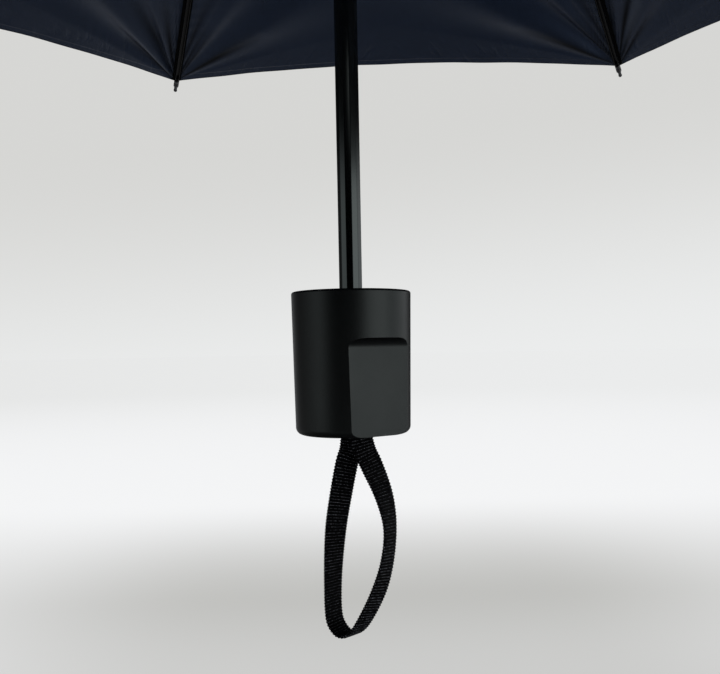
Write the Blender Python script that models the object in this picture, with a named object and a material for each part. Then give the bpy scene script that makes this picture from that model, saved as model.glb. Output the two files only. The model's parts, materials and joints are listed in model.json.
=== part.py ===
# Compact folding umbrella, opened and held upright by its handle.
# Metres, +Z up along the shaft. The origin is the middle of the handle, on the shaft's axis.

import math

import bmesh
import bpy
from mathutils import Matrix, Vector

# Clearances that every fit is made from
seat_gap = 0.0003
slide_gap = 0.00035
cut_overrun = 0.003
merge_distance = 0.000001

# Handle, a short tapered cup with one flat on its side
handle_length = 0.0475
handle_top_diameter = 0.0400
handle_bottom_diameter = 0.0388
handle_top_rounding = 0.0008
handle_bottom_rounding = 0.0024
handle_wall = 0.0025
handle_flat_depth = 0.00395
handle_flat_top = 0.0156
handle_flat_rounding = 0.0032
handle_flat_turn = math.radians(-57.5)
tube_socket_depth = 0.0280

# Plug that closes the handle and carries the strap's pin
base_plug_diameter = 0.0280
base_plate = 0.0020
base_ring_height = 0.0065
base_ring_wall = 0.0025
strap_slot_length = 0.0146
strap_slot_width = 0.0120
strap_pin_diameter = 0.0030
strap_pin_height = 0.0040
strap_pin_bearing = 0.0018

# Wrist strap, one loop of flat webbing
strap_width = 0.0080
strap_thickness = 0.0011
strap_hang = 0.0698
strap_front_shift = 0.0022
strap_back_shift = -0.0004

# Telescoping shaft of many-sided tubes, the thinnest at the handle
shaft_sides = 12
shaft_turn = math.radians(13.0)
lower_tube_across = 0.0076
tube_wall = 0.0005
lower_tube_shown = 0.1050
middle_tube_shown = 0.1050
upper_tube_length = 0.1600
tube_overlap = 0.0220
collar_height = 0.0040
collar_wall = 0.0009

# Ribs, three folding lengths in each
rib_count = 8
rib_turn = math.radians(62.4)
rib_width = 0.0032
rib_height = 0.0030
rib_wall = 0.0005
rib_eye_radius = 0.0015
rib_lug_length = 0.0040
rib_tongue_width = 0.0016
inner_rib_length = 0.1710
middle_rib_length = 0.1740
outer_rib_length = 0.1640
inner_rib_slope = math.atan(0.30)
middle_rib_slope = math.atan(0.37)
outer_rib_slope = math.atan(0.32)

# Plastic caps at the rib ends, each a sleeve on the rib with a slim nose beyond the fabric
tip_diameter = 0.0042
tip_nose_diameter = 0.0026
tip_end_diameter = 0.0030
tip_length = 0.0162
tip_sleeve_length = 0.0088
tip_socket_depth = 0.0070

# Stretchers, from the runner to the inner ribs
stretcher_length = 0.0750
stretcher_reach = 0.0600
stretcher_thickness = 0.0016
stretcher_height = 0.0026

# Hub at the top of the shaft
hinge_circle_radius = 0.0100
hub_radius = 0.0123
hub_below_hinge = 0.0030
hub_skirt_length = 0.0100
hub_skirt_wall = 0.0014
hub_chamfer = 0.0028
spigot_diameter = 0.0050
spigot_height = 0.0048
hinge_wire_diameter = 0.0010

# Runner
runner_hinge_radius = 0.0100
runner_flange_rise = 0.0026
runner_flange_drop = 0.0034
runner_sleeve_diameter = 0.0162
runner_grip_diameter = 0.0200
runner_grip_height = 0.0036
runner_drop = 0.0190
button_width = 0.0050
button_height = 0.0068
button_depth = 0.0026
button_travel = 0.0012
button_rounding = 0.0006
button_turn = math.radians(-67.5) + rib_turn

# Canopy
fabric_thickness = 0.0005
fabric_lift = 0.0040
fabric_corner_inset = 0.0082
fabric_hole_radius = 0.0032
fabric_hem_scallop_share = 0.055
fabric_dip_share = 0.012
panel_columns = 6
rows_per_rib = 3

# Cap and washer above the canopy
washer_diameter = 0.0230
washer_thickness = 0.0009
cap_base_diameter = 0.0180
cap_neck_diameter = 0.0112
cap_top_diameter = 0.0126
cap_height = 0.0165
cap_collar_height = 0.0030
cap_socket_gap = 0.0004

# Closing band, hanging from the hem
band_width = 0.0140
band_length = 0.0620
band_thickness = 0.0010
band_panel = 4

# Heights that follow from the sizes above
handle_top = handle_length / 2
handle_bottom = -handle_length / 2
middle_tube_bottom = handle_top + lower_tube_shown
upper_tube_bottom = middle_tube_bottom + middle_tube_shown
upper_tube_top = upper_tube_bottom + upper_tube_length
flat_radius_factor = 1 / math.cos(math.pi / shaft_sides)
middle_tube_across = lower_tube_across + 2 * (slide_gap + tube_wall)
upper_tube_across = middle_tube_across + 2 * (slide_gap + tube_wall)
upper_corner_radius = upper_tube_across / 2 * flat_radius_factor
hub_bore_radius = upper_corner_radius + seat_gap
hinge_rise = rib_height / 2 + seat_gap
tongue_length = rib_lug_length + 2 * seat_gap + rib_eye_radius / 2
fork_gap = rib_tongue_width + 2 * seat_gap
hinge_height = upper_tube_top + seat_gap - (rib_eye_radius + seat_gap)
stretcher_side = rib_width / 2 + seat_gap + stretcher_thickness / 2
stretcher_foot = math.sqrt(runner_hinge_radius ** 2 - stretcher_side ** 2)
stretcher_skew = stretcher_thickness / 2 * stretcher_side / stretcher_foot
strap_pin_level = handle_bottom + strap_pin_height

# The strap's way from the pin and back, as shares of the length that it hangs, with its turn in degrees
strap_route_shares = (
    (-0.015, 0.030, -0.085, 4.0),
    (-0.037, 0.022, -0.155, 8.0),
    (-0.067, 0.018, -0.300, 13.0),
    (-0.093, 0.026, -0.450, 21.0),
    (-0.108, 0.036, -0.600, 33.0),
    (-0.116, 0.046, -0.745, 42.0),
    (-0.117, 0.050, -0.885, 45.0),
    (-0.104, 0.040, -0.955, 45.0),
    (-0.064, 0.010, -0.997, 45.0),
    (-0.012, -0.026, -0.983, 44.0),
    (0.040, -0.062, -0.905, 42.0),
    (0.108, -0.086, -0.760, 44.0),
    (0.151, -0.092, -0.610, 54.0),
    (0.166, -0.085, -0.450, 56.0),
    (0.140, -0.064, -0.300, 38.0),
    (0.084, -0.040, -0.155, 14.0),
    (0.052, -0.033, -0.085, 8.0),
)


def clear_scene():
    for item in list(bpy.data.objects):
        bpy.data.objects.remove(item, do_unlink=True)


def make_material(name, colour, roughness, metallic=0.0):
    material = bpy.data.materials.new(name)
    material.use_nodes = True
    shader = material.node_tree.nodes["Principled BSDF"]
    shader.inputs["Base Color"].default_value = (*colour, 1.0)
    shader.inputs["Roughness"].default_value = roughness
    shader.inputs["Metallic"].default_value = metallic
    return material


def finish_mesh(shape, name):
    bmesh.ops.remove_doubles(shape, verts=shape.verts, dist=merge_distance)
    bmesh.ops.recalc_face_normals(shape, faces=shape.faces)
    mesh = bpy.data.meshes.new(name)
    shape.to_mesh(mesh)
    shape.free()
    return mesh


def add_object(name, mesh, material, place=None, parent=None):
    mesh.shade_smooth()
    mesh.set_sharp_from_angle(angle=math.radians(32))
    if not mesh.materials:
        mesh.materials.append(material)
    item = bpy.data.objects.new(name, mesh)
    bpy.context.collection.objects.link(item)
    item.parent = parent
    item.matrix_local = place if place is not None else Matrix.Identity(4)
    return item


def add_empty(name, place, parent=None):
    empty = bpy.data.objects.new(name, None)
    bpy.context.collection.objects.link(empty)
    empty.parent = parent
    empty.matrix_local = place
    return empty


def arc(centre, radius, start, end, steps):
    # Points on a round stretch, angles in degrees
    points = []
    for step in range(steps + 1):
        angle = math.radians(start + (end - start) * step / steps)
        points.append((centre[0] + radius * math.cos(angle), centre[1] + radius * math.sin(angle)))
    return points


def turned(name, profile, sides, turn=0.0, ring=True):
    # A profile of (radius, height) points spun about Z; a ring's profile is a closed loop
    shape = bmesh.new()
    start = Matrix.Rotation(turn, 3, "Z")
    verts = [shape.verts.new(start @ Vector((radius, 0.0, height))) for radius, height in profile]
    edges = [shape.edges.new(pair) for pair in zip(verts, verts[1:])]
    if ring:
        edges.append(shape.edges.new((verts[-1], verts[0])))
    bmesh.ops.spin(shape, geom=verts + edges, cent=(0, 0, 0), axis=(0, 0, 1), angle=math.tau,
                   steps=sides, use_merge=True, use_duplicate=False)
    return finish_mesh(shape, name)


def plate(name, outline, thickness, middle=0.0, holes=()):
    # An outline of (x, z) points, and any holes in it, with its thickness along Y
    shape = bmesh.new()
    near = middle - thickness / 2
    edges = []
    for loop in (outline, *holes):
        verts = [shape.verts.new((x, near, z)) for x, z in loop]
        edges += [shape.edges.new(pair) for pair in zip(verts, verts[1:] + verts[:1])]
    bmesh.ops.triangle_fill(shape, edges=edges, use_beauty=True, normal=(0.0, -1.0, 0.0))
    grown = bmesh.ops.extrude_face_region(shape, geom=shape.faces[:])
    moved = [part for part in grown["geom"] if isinstance(part, bmesh.types.BMVert)]
    bmesh.ops.translate(shape, verts=moved, vec=(0.0, thickness, 0.0))
    return finish_mesh(shape, name)


def block(name, low, high):
    outline = [(low[0], low[2]), (high[0], low[2]), (high[0], high[2]), (low[0], high[2])]
    return plate(name, outline, high[1] - low[1], (high[1] + low[1]) / 2)


def rod(name, radius, length, sides, axis):
    # A cylinder about the origin, along the given axis
    shape = bmesh.new()
    bmesh.ops.create_cone(shape, cap_ends=True, segments=sides, radius1=radius, radius2=radius,
                          depth=length)
    turn = Vector((0, 0, 1)).rotation_difference(Vector(axis)).to_matrix()
    bmesh.ops.transform(shape, matrix=turn.to_4x4(), verts=shape.verts)
    return finish_mesh(shape, name)


def cut(mesh, cutters):
    # The mesh without the space of each (cutter mesh, place) pair
    body = bpy.data.objects.new("body", mesh)
    bpy.context.collection.objects.link(body)
    tools = []
    for cutter_mesh, place in cutters:
        tool = bpy.data.objects.new("cutter", cutter_mesh)
        tool.matrix_local = place
        bpy.context.collection.objects.link(tool)
        tools.append(tool)
        boolean = body.modifiers.new("cut", "BOOLEAN")
        boolean.operation = "DIFFERENCE"
        boolean.object = tool
    bpy.context.view_layer.update()
    view = bpy.context.evaluated_depsgraph_get()
    result = bpy.data.meshes.new_from_object(body.evaluated_get(view))
    result.name = mesh.name
    for item in [body] + tools:
        bpy.data.objects.remove(item, do_unlink=True)
    return result


def at(x=0.0, y=0.0, z=0.0):
    return Matrix.Translation((x, y, z))


def around(azimuth):
    return Matrix.Rotation(azimuth, 4, "Z")


def tilt(angle):
    # Turns +X downwards for a positive angle
    return Matrix.Rotation(angle, 4, "Y")


def rib_azimuth(number):
    return rib_turn + math.tau * number / rib_count


def build_handle(material):
    top = handle_top_diameter / 2
    bottom = handle_bottom_diameter / 2
    plug_bore = base_plug_diameter / 2 + seat_gap
    cavity = plug_bore - handle_wall / 5
    socket = lower_tube_across / 2 * flat_radius_factor + seat_gap
    ceiling = handle_top - tube_socket_depth
    plug_top = handle_bottom + base_plate + seat_gap
    profile = [(socket, handle_top)]
    profile += arc((top - handle_top_rounding, handle_top - handle_top_rounding),
                   handle_top_rounding, 90, 0, 3)
    profile += arc((bottom - handle_bottom_rounding, handle_bottom + handle_bottom_rounding),
                   handle_bottom_rounding, 0, -90, 5)
    profile += [(plug_bore, handle_bottom), (plug_bore, plug_top), (cavity, plug_top),
                (cavity, ceiling), (socket, ceiling)]
    mesh = turned("handle_shell", profile, 48)

    # The flat starts under a small rounded brow and runs out through the bottom
    flat = handle_top_diameter / 2 - handle_flat_depth
    brow = handle_top - handle_flat_top
    reach = handle_top_diameter / 2 + cut_overrun
    outline = [(flat, handle_bottom - cut_overrun), (reach, handle_bottom - cut_overrun), (reach, brow)]
    outline += arc((flat + handle_flat_rounding, brow - handle_flat_rounding),
                   handle_flat_rounding, 90, 180, 5)
    cutter = plate("flat", outline, handle_top_diameter + cut_overrun)
    return add_object("handle_shell", cut(mesh, [(cutter, around(handle_flat_turn))]), material)


def build_base_plug(material):
    outer = base_plug_diameter / 2
    ring_outer = outer - handle_wall / 5 - seat_gap
    ring_inner = ring_outer - base_ring_wall
    top = handle_bottom + base_plate
    ring_top = top + base_ring_height
    profile = [(0.0, handle_bottom), (outer, handle_bottom), (outer, top), (ring_outer, top),
               (ring_outer, ring_top), (ring_inner, ring_top), (ring_inner, top), (0.0, top)]
    mesh = turned("base_plug", profile, 32, ring=False)
    slot = block("slot", (-strap_slot_length / 2, -strap_slot_width / 2, handle_bottom - cut_overrun),
                 (strap_slot_length / 2, strap_slot_width / 2, top + cut_overrun))
    bore = rod("bore", strap_pin_diameter / 2 + seat_gap / 2, 2 * (ring_inner + strap_pin_bearing), 12,
               (1, 0, 0))
    mesh = cut(mesh, [(slot, at()), (bore, at(z=strap_pin_level))])
    add_object("base_plug", mesh, material)
    return 2 * (ring_inner + strap_pin_bearing - seat_gap / 2)


def build_strap_pin(material, length):
    mesh = rod("strap_pin", strap_pin_diameter / 2, length, 12, (1, 0, 0))
    add_object("strap_pin", mesh, material, at(z=strap_pin_level))


def smooth_loop(points, steps):
    # A closed curve through the points, with some steps between each two
    count = len(points)
    result = []
    for index in range(count):
        before, start, end, after = (points[(index + step) % count] for step in (-1, 0, 1, 2))
        for step in range(steps):
            t = step / steps
            result.append(0.5 * (2 * start + (end - before) * t
                                 + (2 * before - 5 * start + 4 * end - after) * t ** 2
                                 + (3 * start - 3 * end + after - before) * t ** 3))
    return result


def build_strap(material):
    # The object's origin is the pin's axis, and the handle's bottom lies below it
    bend = strap_pin_diameter / 2 + seat_gap + strap_thickness / 2
    route = [Vector((strap_back_shift, bend, -strap_pin_height, 0.0))]
    for x, y, z, turn in strap_route_shares:
        route.append(Vector((x * strap_hang, y * strap_hang, z * strap_hang - strap_pin_height,
                             math.radians(turn))))
    route.append(Vector((strap_front_shift, -bend, -strap_pin_height, 0.0)))
    for step in range(7):
        angle = math.pi * step / 6
        shift = strap_front_shift + (strap_back_shift - strap_front_shift) * step / 6
        route.append(Vector((shift, -bend * math.cos(angle), bend * math.sin(angle), 0.0)))

    stations = smooth_loop(route, 3)
    count = len(stations)
    shape = bmesh.new()
    rows = []
    for index, station in enumerate(stations):
        place = station.to_3d()
        ahead = stations[(index + 1) % count].to_3d() - stations[index - 1].to_3d()
        along = ahead.normalized()
        across = Vector((math.cos(station[3]), math.sin(station[3]), 0.0))
        across = (across - across.dot(along) * along).normalized()
        out = along.cross(across)
        corners = ((1, 1), (1, -1), (-1, -1), (-1, 1))
        rows.append([shape.verts.new(place + side * across * strap_width / 2
                                     + face * out * strap_thickness / 2) for side, face in corners])
    for index, row in enumerate(rows):
        following = rows[(index + 1) % count]
        for corner in range(4):
            beside = (corner + 1) % 4
            shape.faces.new((row[corner], row[beside], following[beside], following[corner]))
    add_object("wrist_strap", finish_mesh(shape, "wrist_strap"), material, at(z=strap_pin_level))


def build_tube(name, across, low, high, material):
    outer = across / 2 * flat_radius_factor
    inner = (across / 2 - tube_wall) * flat_radius_factor
    length = high - low
    profile = [(outer, length), (outer, 0.0), (inner, 0.0), (inner, length)]
    add_object(name, turned(name, profile, shaft_sides, shaft_turn), material, at(z=low))


def build_collar(name, across, low, material):
    # A crimped ring round the open end of a tube
    inner = across / 2 * flat_radius_factor + seat_gap
    outer = inner + collar_wall
    bevel = collar_wall / 2
    profile = [(inner, collar_height), (outer - bevel, collar_height), (outer, collar_height - bevel),
               (outer, bevel), (outer - bevel, 0.0), (inner, 0.0)]
    add_object(name, turned(name, profile, 24), material, at(z=low))


def build_shaft(material, collar_material):
    low = handle_top - tube_socket_depth + seat_gap
    build_tube("lower_tube", lower_tube_across, low, middle_tube_bottom + tube_overlap, material)
    build_tube("middle_tube", middle_tube_across, middle_tube_bottom,
               upper_tube_bottom + tube_overlap, material)
    build_tube("upper_tube", upper_tube_across, upper_tube_bottom, upper_tube_top, material)
    build_collar("middle_tube_collar", middle_tube_across, middle_tube_bottom, collar_material)
    build_collar("upper_tube_collar", upper_tube_across, upper_tube_bottom, collar_material)


def build_hinge_wire(name, radius, height, material):
    wire = arc((radius, 0.0), hinge_wire_diameter / 2, 0, 300, 5)
    add_object(name, turned(name, wire, 32), material, at(z=height))


def build_hub(material):
    skirt = hub_bore_radius + hub_skirt_wall
    groove = hinge_circle_radius - hinge_wire_diameter / 2 - seat_gap
    lip = hinge_wire_diameter / 2 + seat_gap
    top = fabric_lift - seat_gap
    bore_top = upper_tube_top - hinge_height + seat_gap
    spigot = spigot_diameter / 2
    profile = [(0.0, top + spigot_height), (spigot, top + spigot_height), (spigot, top),
               (hub_radius - hub_chamfer, top), (hub_radius, top - hub_chamfer / 2), (hub_radius, lip),
               (groove, lip), (groove, -lip), (hub_radius, -lip), (hub_radius, -hub_below_hinge),
               (skirt, -hub_below_hinge), (skirt, -hub_skirt_length), (hub_bore_radius, -hub_skirt_length),
               (hub_bore_radius, bore_top), (0.0, bore_top)]
    mesh = turned("top_hub", profile, 32, ring=False)

    # One slot for each rib, open below so that the rib can hang down
    low = (hinge_circle_radius - rib_eye_radius - seat_gap, -fork_gap / 2,
           -hub_below_hinge - cut_overrun)
    high = (hub_radius + cut_overrun, fork_gap / 2, rib_eye_radius + seat_gap)
    cutters = [(block("rib_slot", low, high), around(rib_azimuth(number))) for number in range(rib_count)]
    add_object("top_hub", cut(mesh, cutters), material, at(z=hinge_height))


def rib_outline(length, start_rise, end_rise, lug_end):
    # Side view of a rib about its first hinge, with a raised or lowered eye at each end
    centre = -start_rise
    top = centre + rib_height / 2
    bottom = centre - rib_height / 2
    outline = arc((0.0, 0.0), rib_eye_radius, 90, 270, 6)
    outline.append((rib_lug_length, bottom))
    if lug_end:
        outline.append((length - rib_lug_length, bottom))
        outline += arc((length, centre + end_rise), rib_eye_radius, -90, 90, 6)
        outline.append((length - rib_lug_length, top))
    else:
        slim = rib_tongue_width / 2
        shoulder = length - tip_socket_depth - rib_lug_length
        outline += [(shoulder, bottom), (length - tip_socket_depth, centre - slim),
                    (length, centre - slim), (length, centre + slim),
                    (length - tip_socket_depth, centre + slim), (shoulder, top)]
    outline.append((rib_lug_length, top))
    return outline


def rib_mesh(name, length, start_rise, end_rise=0.0, lug_end=True):
    # A channel open below, with a thin tongue at its first hinge and a fork or a spigot at its end
    centre = -start_rise
    top = centre + rib_height / 2
    bottom = centre - rib_height / 2
    above = rib_height + rib_eye_radius + cut_overrun
    mesh = plate(name, rib_outline(length, start_rise, end_rise, lug_end), rib_width)
    cutters = []
    for side in (-1, 1):
        inside = side * rib_tongue_width / 2
        outside = side * (rib_width / 2 + cut_overrun)
        near, far = sorted((inside, outside))
        cutters.append(block("shoulder", (-rib_eye_radius - cut_overrun, near, -above),
                             (tongue_length, far, above)))
        if not lug_end:
            cutters.append(block("spigot", (length - tip_socket_depth - seat_gap, near, -above),
                                 (length + cut_overrun, far, above)))
    channel_end = length - tongue_length - rib_lug_length
    half = rib_width / 2 - rib_wall
    cutters.append(block("channel", (tongue_length + rib_lug_length, -half, bottom - cut_overrun),
                         (channel_end, half, top - rib_wall)))
    cutters.append(rod("eye", hinge_wire_diameter / 2 + seat_gap, rib_width + cut_overrun, 10, (0, 1, 0)))
    pairs = [(cutter, at()) for cutter in cutters]
    if lug_end:
        fork = block("fork", (length - rib_lug_length - seat_gap, -fork_gap / 2, -above),
                     (length + rib_eye_radius + cut_overrun, fork_gap / 2, above))
        pairs.append((fork, at()))
    return cut(mesh, pairs)


def build_tip_mesh():
    # A sleeve, a nose and a rounded end, from the mouth of the socket
    body = tip_diameter / 2
    nose = tip_nose_diameter / 2
    end = tip_end_diameter / 2
    half_slope = (body - nose) / 2
    bore = rib_tongue_width / 2 * math.sqrt(2) + seat_gap
    bead = tip_length - end
    deep = tip_socket_depth + seat_gap
    profile = [(0.0, deep), (bore, deep), (bore, 0.0), (body - tip_diameter / 8, 0.0),
               (body, tip_diameter / 8), (body, tip_sleeve_length - half_slope),
               (nose, tip_sleeve_length + half_slope), (nose, bead - end)]
    profile += arc((0.0, bead), end, -30, 90, 4)
    return turned("rib_tip", profile, 10, ring=False)


def build_stretcher_mesh():
    # A flat bar with an eye at each end
    half = stretcher_height / 2
    outline = arc((0.0, 0.0), rib_eye_radius, 90, 270, 6)
    outline += [(rib_lug_length, -half), (stretcher_length - rib_lug_length, -half)]
    outline += arc((stretcher_length, 0.0), rib_eye_radius, -90, 90, 6)
    outline += [(stretcher_length - rib_lug_length, half), (rib_lug_length, half)]
    holes = [arc((middle, 0.0), hinge_wire_diameter / 2 + seat_gap + stretcher_skew, 0, 324, 9)
             for middle in (0.0, stretcher_length)]
    return plate("stretcher", outline, stretcher_thickness, holes=holes)


def runner_height():
    # The level at which the stretchers just reach the inner ribs
    out = hinge_circle_radius + stretcher_reach * math.cos(inner_rib_slope) - stretcher_foot
    down = stretcher_reach * math.sin(inner_rib_slope)
    return hinge_height - down - math.sqrt(stretcher_length ** 2 - out ** 2)


def stretcher_lean():
    out = hinge_circle_radius + stretcher_reach * math.cos(inner_rib_slope) - stretcher_foot
    return math.acos(out / stretcher_length)


def build_ribs(material, tip_material):
    inner = rib_mesh("inner_rib", inner_rib_length, 0.0, hinge_rise)
    middle = rib_mesh("middle_rib", middle_rib_length, hinge_rise, -hinge_rise)
    outer = rib_mesh("outer_rib", outer_rib_length, -hinge_rise, lug_end=False)
    tip = build_tip_mesh()
    stretcher = build_stretcher_mesh()
    lie_along = Matrix.Rotation(math.pi / 2, 4, "Y")
    tip_start = outer_rib_length - tip_socket_depth
    for number in range(rib_count):
        label = number + 1
        turn = around(rib_azimuth(number))
        hinge = add_empty(f"rib_place_{label}", at(z=hinge_height) @ turn)
        foot = add_empty(f"stretcher_place_{label}", at(z=runner_height()) @ turn)
        first = add_object(f"inner_rib_{label}", inner, material,
                           at(x=hinge_circle_radius) @ tilt(inner_rib_slope), hinge)
        second = add_object(f"middle_rib_{label}", middle, material,
                            at(x=inner_rib_length, z=hinge_rise)
                            @ tilt(middle_rib_slope - inner_rib_slope), first)
        third = add_object(f"outer_rib_{label}", outer, material,
                           at(x=middle_rib_length, z=-2 * hinge_rise)
                           @ tilt(outer_rib_slope - middle_rib_slope), second)
        add_object(f"rib_tip_{label}", tip, tip_material,
                   at(x=tip_start, z=hinge_rise) @ lie_along, third)
        add_object(f"stretcher_{label}", stretcher, material,
                   at(x=stretcher_foot, y=stretcher_side) @ tilt(-stretcher_lean()), foot)


def build_runner(material, button_material):
    bore = hub_bore_radius
    sleeve = runner_sleeve_diameter / 2
    grip = runner_grip_diameter / 2
    groove = runner_hinge_radius - hinge_wire_diameter / 2 - seat_gap
    lip = hinge_wire_diameter / 2 + seat_gap
    bevel = runner_grip_height / 5
    profile = [(bore, runner_flange_rise), (hub_radius, runner_flange_rise), (hub_radius, lip),
               (groove, lip), (groove, -lip), (hub_radius, -lip), (hub_radius, -runner_flange_drop),
               (sleeve, -runner_flange_drop), (sleeve, -runner_drop + runner_grip_height + bevel),
               (grip - bevel, -runner_drop + runner_grip_height),
               (grip, -runner_drop + runner_grip_height - bevel), (grip, -runner_drop + bevel),
               (grip - bevel, -runner_drop), (bore, -runner_drop)]
    mesh = turned("runner", profile, 32)

    # A slot for each stretcher, open above, and a window for the button
    low = (stretcher_foot - rib_eye_radius - seat_gap, stretcher_side - fork_gap / 2,
           -rib_eye_radius - seat_gap)
    high = (hub_radius + cut_overrun, stretcher_side + fork_gap / 2, runner_flange_rise + cut_overrun)
    cutters = [(block("stretcher_slot", low, high), around(rib_azimuth(number)))
               for number in range(rib_count)]
    room = -runner_flange_drop + runner_drop - runner_grip_height
    window_middle = -runner_flange_drop - room / 2
    half_width = button_width / 2 + seat_gap
    half_height = button_height / 2 + seat_gap
    window = block("window", (bore - cut_overrun, -half_width, window_middle - half_height),
                   (sleeve + cut_overrun, half_width, window_middle + half_height))
    cutters.append((window, around(button_turn)))
    place = at(z=runner_height())
    add_object("runner", cut(mesh, cutters), material, place)

    inner = bore + button_travel + seat_gap / 2
    shape = bmesh.new()
    bmesh.ops.create_cube(shape, size=1.0)
    bmesh.ops.scale(shape, vec=(button_depth, button_width, button_height), verts=shape.verts)
    rim = [edge for edge in shape.edges if all(vert.co.x > 0 for vert in edge.verts)]
    bmesh.ops.bevel(shape, geom=rim, offset=button_rounding, segments=2, profile=0.5,
                    affect="EDGES", material=-1)
    mesh = finish_mesh(shape, "runner_button")
    add_object("runner_button", mesh, button_material,
               place @ around(button_turn) @ at(x=inner + button_depth / 2, z=window_middle))


def rib_line():
    # Radius and height of the middle of the ribs at their hinges and at the canopy's corner
    first = Vector((hinge_circle_radius, hinge_height))
    second = first + inner_rib_length * Vector((math.cos(inner_rib_slope), -math.sin(inner_rib_slope)))
    third = second + middle_rib_length * Vector((math.cos(middle_rib_slope), -math.sin(middle_rib_slope)))
    reach = outer_rib_length + tip_length - tip_socket_depth - fabric_corner_inset
    fourth = third + reach * Vector((math.cos(outer_rib_slope), -math.sin(outer_rib_slope)))
    return [first, second, third, fourth]


def canopy_rings():
    # Distances from the shaft at which the canopy has a ring of points
    line = rib_line()
    rings = [fabric_hole_radius]
    for start, end in zip(line, line[1:]):
        rings += [start.x + (end.x - start.x) * step / rows_per_rib for step in range(rows_per_rib)]
    rings.append(line[-1].x)
    return rings


def height_over_ribs(radius):
    line = rib_line()
    if radius <= line[0].x:
        return line[0].y + fabric_lift
    for start, end in zip(line, line[1:]):
        if radius <= end.x:
            break
    share = (radius - start.x) / (end.x - start.x)
    return start.y + (end.y - start.y) * share + fabric_lift


def canopy_point(panel, across, ring):
    # A panel spans two ribs: its hem is drawn in between them, and its middle dips a little
    bow = 4 * across * (1 - across)
    corner = rib_line()[-1].x
    drawn = ring * (1 - fabric_hem_scallop_share * bow * (ring / corner) ** 3)
    start = around(rib_azimuth(panel)) @ Vector((drawn, 0.0, 0.0))
    end = around(rib_azimuth(panel + 1)) @ Vector((drawn, 0.0, 0.0))
    place = start.lerp(end, across)
    place.z = height_over_ribs(drawn) - fabric_dip_share * bow * (end - start).length
    return place


def build_canopy(material):
    shape = bmesh.new()
    columns = [(panel, step / panel_columns) for panel in range(rib_count) for step in range(panel_columns)]
    sheets = []
    for lift in (0.0, fabric_thickness):
        sheets.append([[shape.verts.new(canopy_point(panel, across, ring) + Vector((0, 0, lift)))
                        for panel, across in columns] for ring in canopy_rings()])
    count = len(columns)
    for sheet in sheets:
        for near, far in zip(sheet, sheet[1:]):
            for index in range(count):
                beside = (index + 1) % count
                shape.faces.new((near[index], near[beside], far[beside], far[index]))
    for below, above in ((sheets[0][0], sheets[1][0]), (sheets[0][-1], sheets[1][-1])):
        for index in range(count):
            beside = (index + 1) % count
            shape.faces.new((below[index], below[beside], above[beside], above[index]))
    add_object("canopy", finish_mesh(shape, "canopy"), material)


def build_band(material):
    # A short tab with a round end, sewn to the hem in the middle of one panel
    hem = canopy_point(band_panel, 0.5, canopy_rings()[-1])
    half = band_width / 2
    outline = [(half, 0.0), (-half, 0.0)] + arc((0.0, half - band_length), half, 180, 360, 8)
    mesh = plate("closing_band", outline, band_thickness)
    turn = around(math.atan2(hem.y, hem.x) + math.pi / 2)
    add_object("closing_band", mesh, material, at(hem.x, hem.y, hem.z - seat_gap) @ turn)


def build_cap(material, washer_material):
    spigot = spigot_diameter / 2 + cap_socket_gap
    low = fabric_lift + fabric_thickness + seat_gap
    washer = [(spigot, washer_thickness), (washer_diameter / 2 - washer_thickness, washer_thickness),
              (washer_diameter / 2, 0.0), (spigot, 0.0)]
    add_object("cap_washer", turned("cap_washer", washer, 32), washer_material,
               at(z=hinge_height + low))

    base = low + washer_thickness + seat_gap
    socket_top = fabric_lift - seat_gap + spigot_height - base + seat_gap
    neck = cap_neck_diameter / 2
    top = cap_top_diameter / 2
    profile = [(0.0, socket_top), (spigot, socket_top), (spigot, 0.0), (cap_base_diameter / 2, 0.0),
               (cap_base_diameter / 2, cap_collar_height / 2), (neck, cap_collar_height)]
    profile += arc((0.0, cap_height - top), top, 0, 90, 6)
    add_object("top_cap", turned("top_cap", profile, 28, ring=False), material,
               at(z=hinge_height + base))


def build_umbrella():
    clear_scene()
    plastic = make_material("matte_plastic", (0.022, 0.022, 0.023), 0.55)
    tube_paint = make_material("satin_tube", (0.020, 0.020, 0.021), 0.32, 0.4)
    steel = make_material("rib_steel", (0.055, 0.057, 0.060), 0.38, 0.8)
    bright_steel = make_material("bright_steel", (0.55, 0.55, 0.56), 0.30, 1.0)
    tip_plastic = make_material("tip_plastic", (0.10, 0.10, 0.11), 0.45)
    webbing = make_material("webbing", (0.015, 0.015, 0.016), 0.80)
    fabric = make_material("canopy_fabric", (0.012, 0.016, 0.035), 0.75)

    build_handle(plastic)
    pin_length = build_base_plug(plastic)
    build_strap_pin(bright_steel, pin_length)
    build_strap(webbing)
    build_shaft(tube_paint, tube_paint)
    build_hub(plastic)
    build_hinge_wire("hub_hinge_wire", hinge_circle_radius, hinge_height, bright_steel)
    build_hinge_wire("runner_hinge_wire", runner_hinge_radius, runner_height(), bright_steel)
    build_ribs(steel, tip_plastic)
    build_runner(plastic, plastic)
    build_canopy(fabric)
    build_band(fabric)
    build_cap(plastic, fabric)


build_umbrella()
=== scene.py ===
import json
import math

import bmesh
import bpy
import numpy as np
from mathutils import Matrix, Vector

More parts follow.
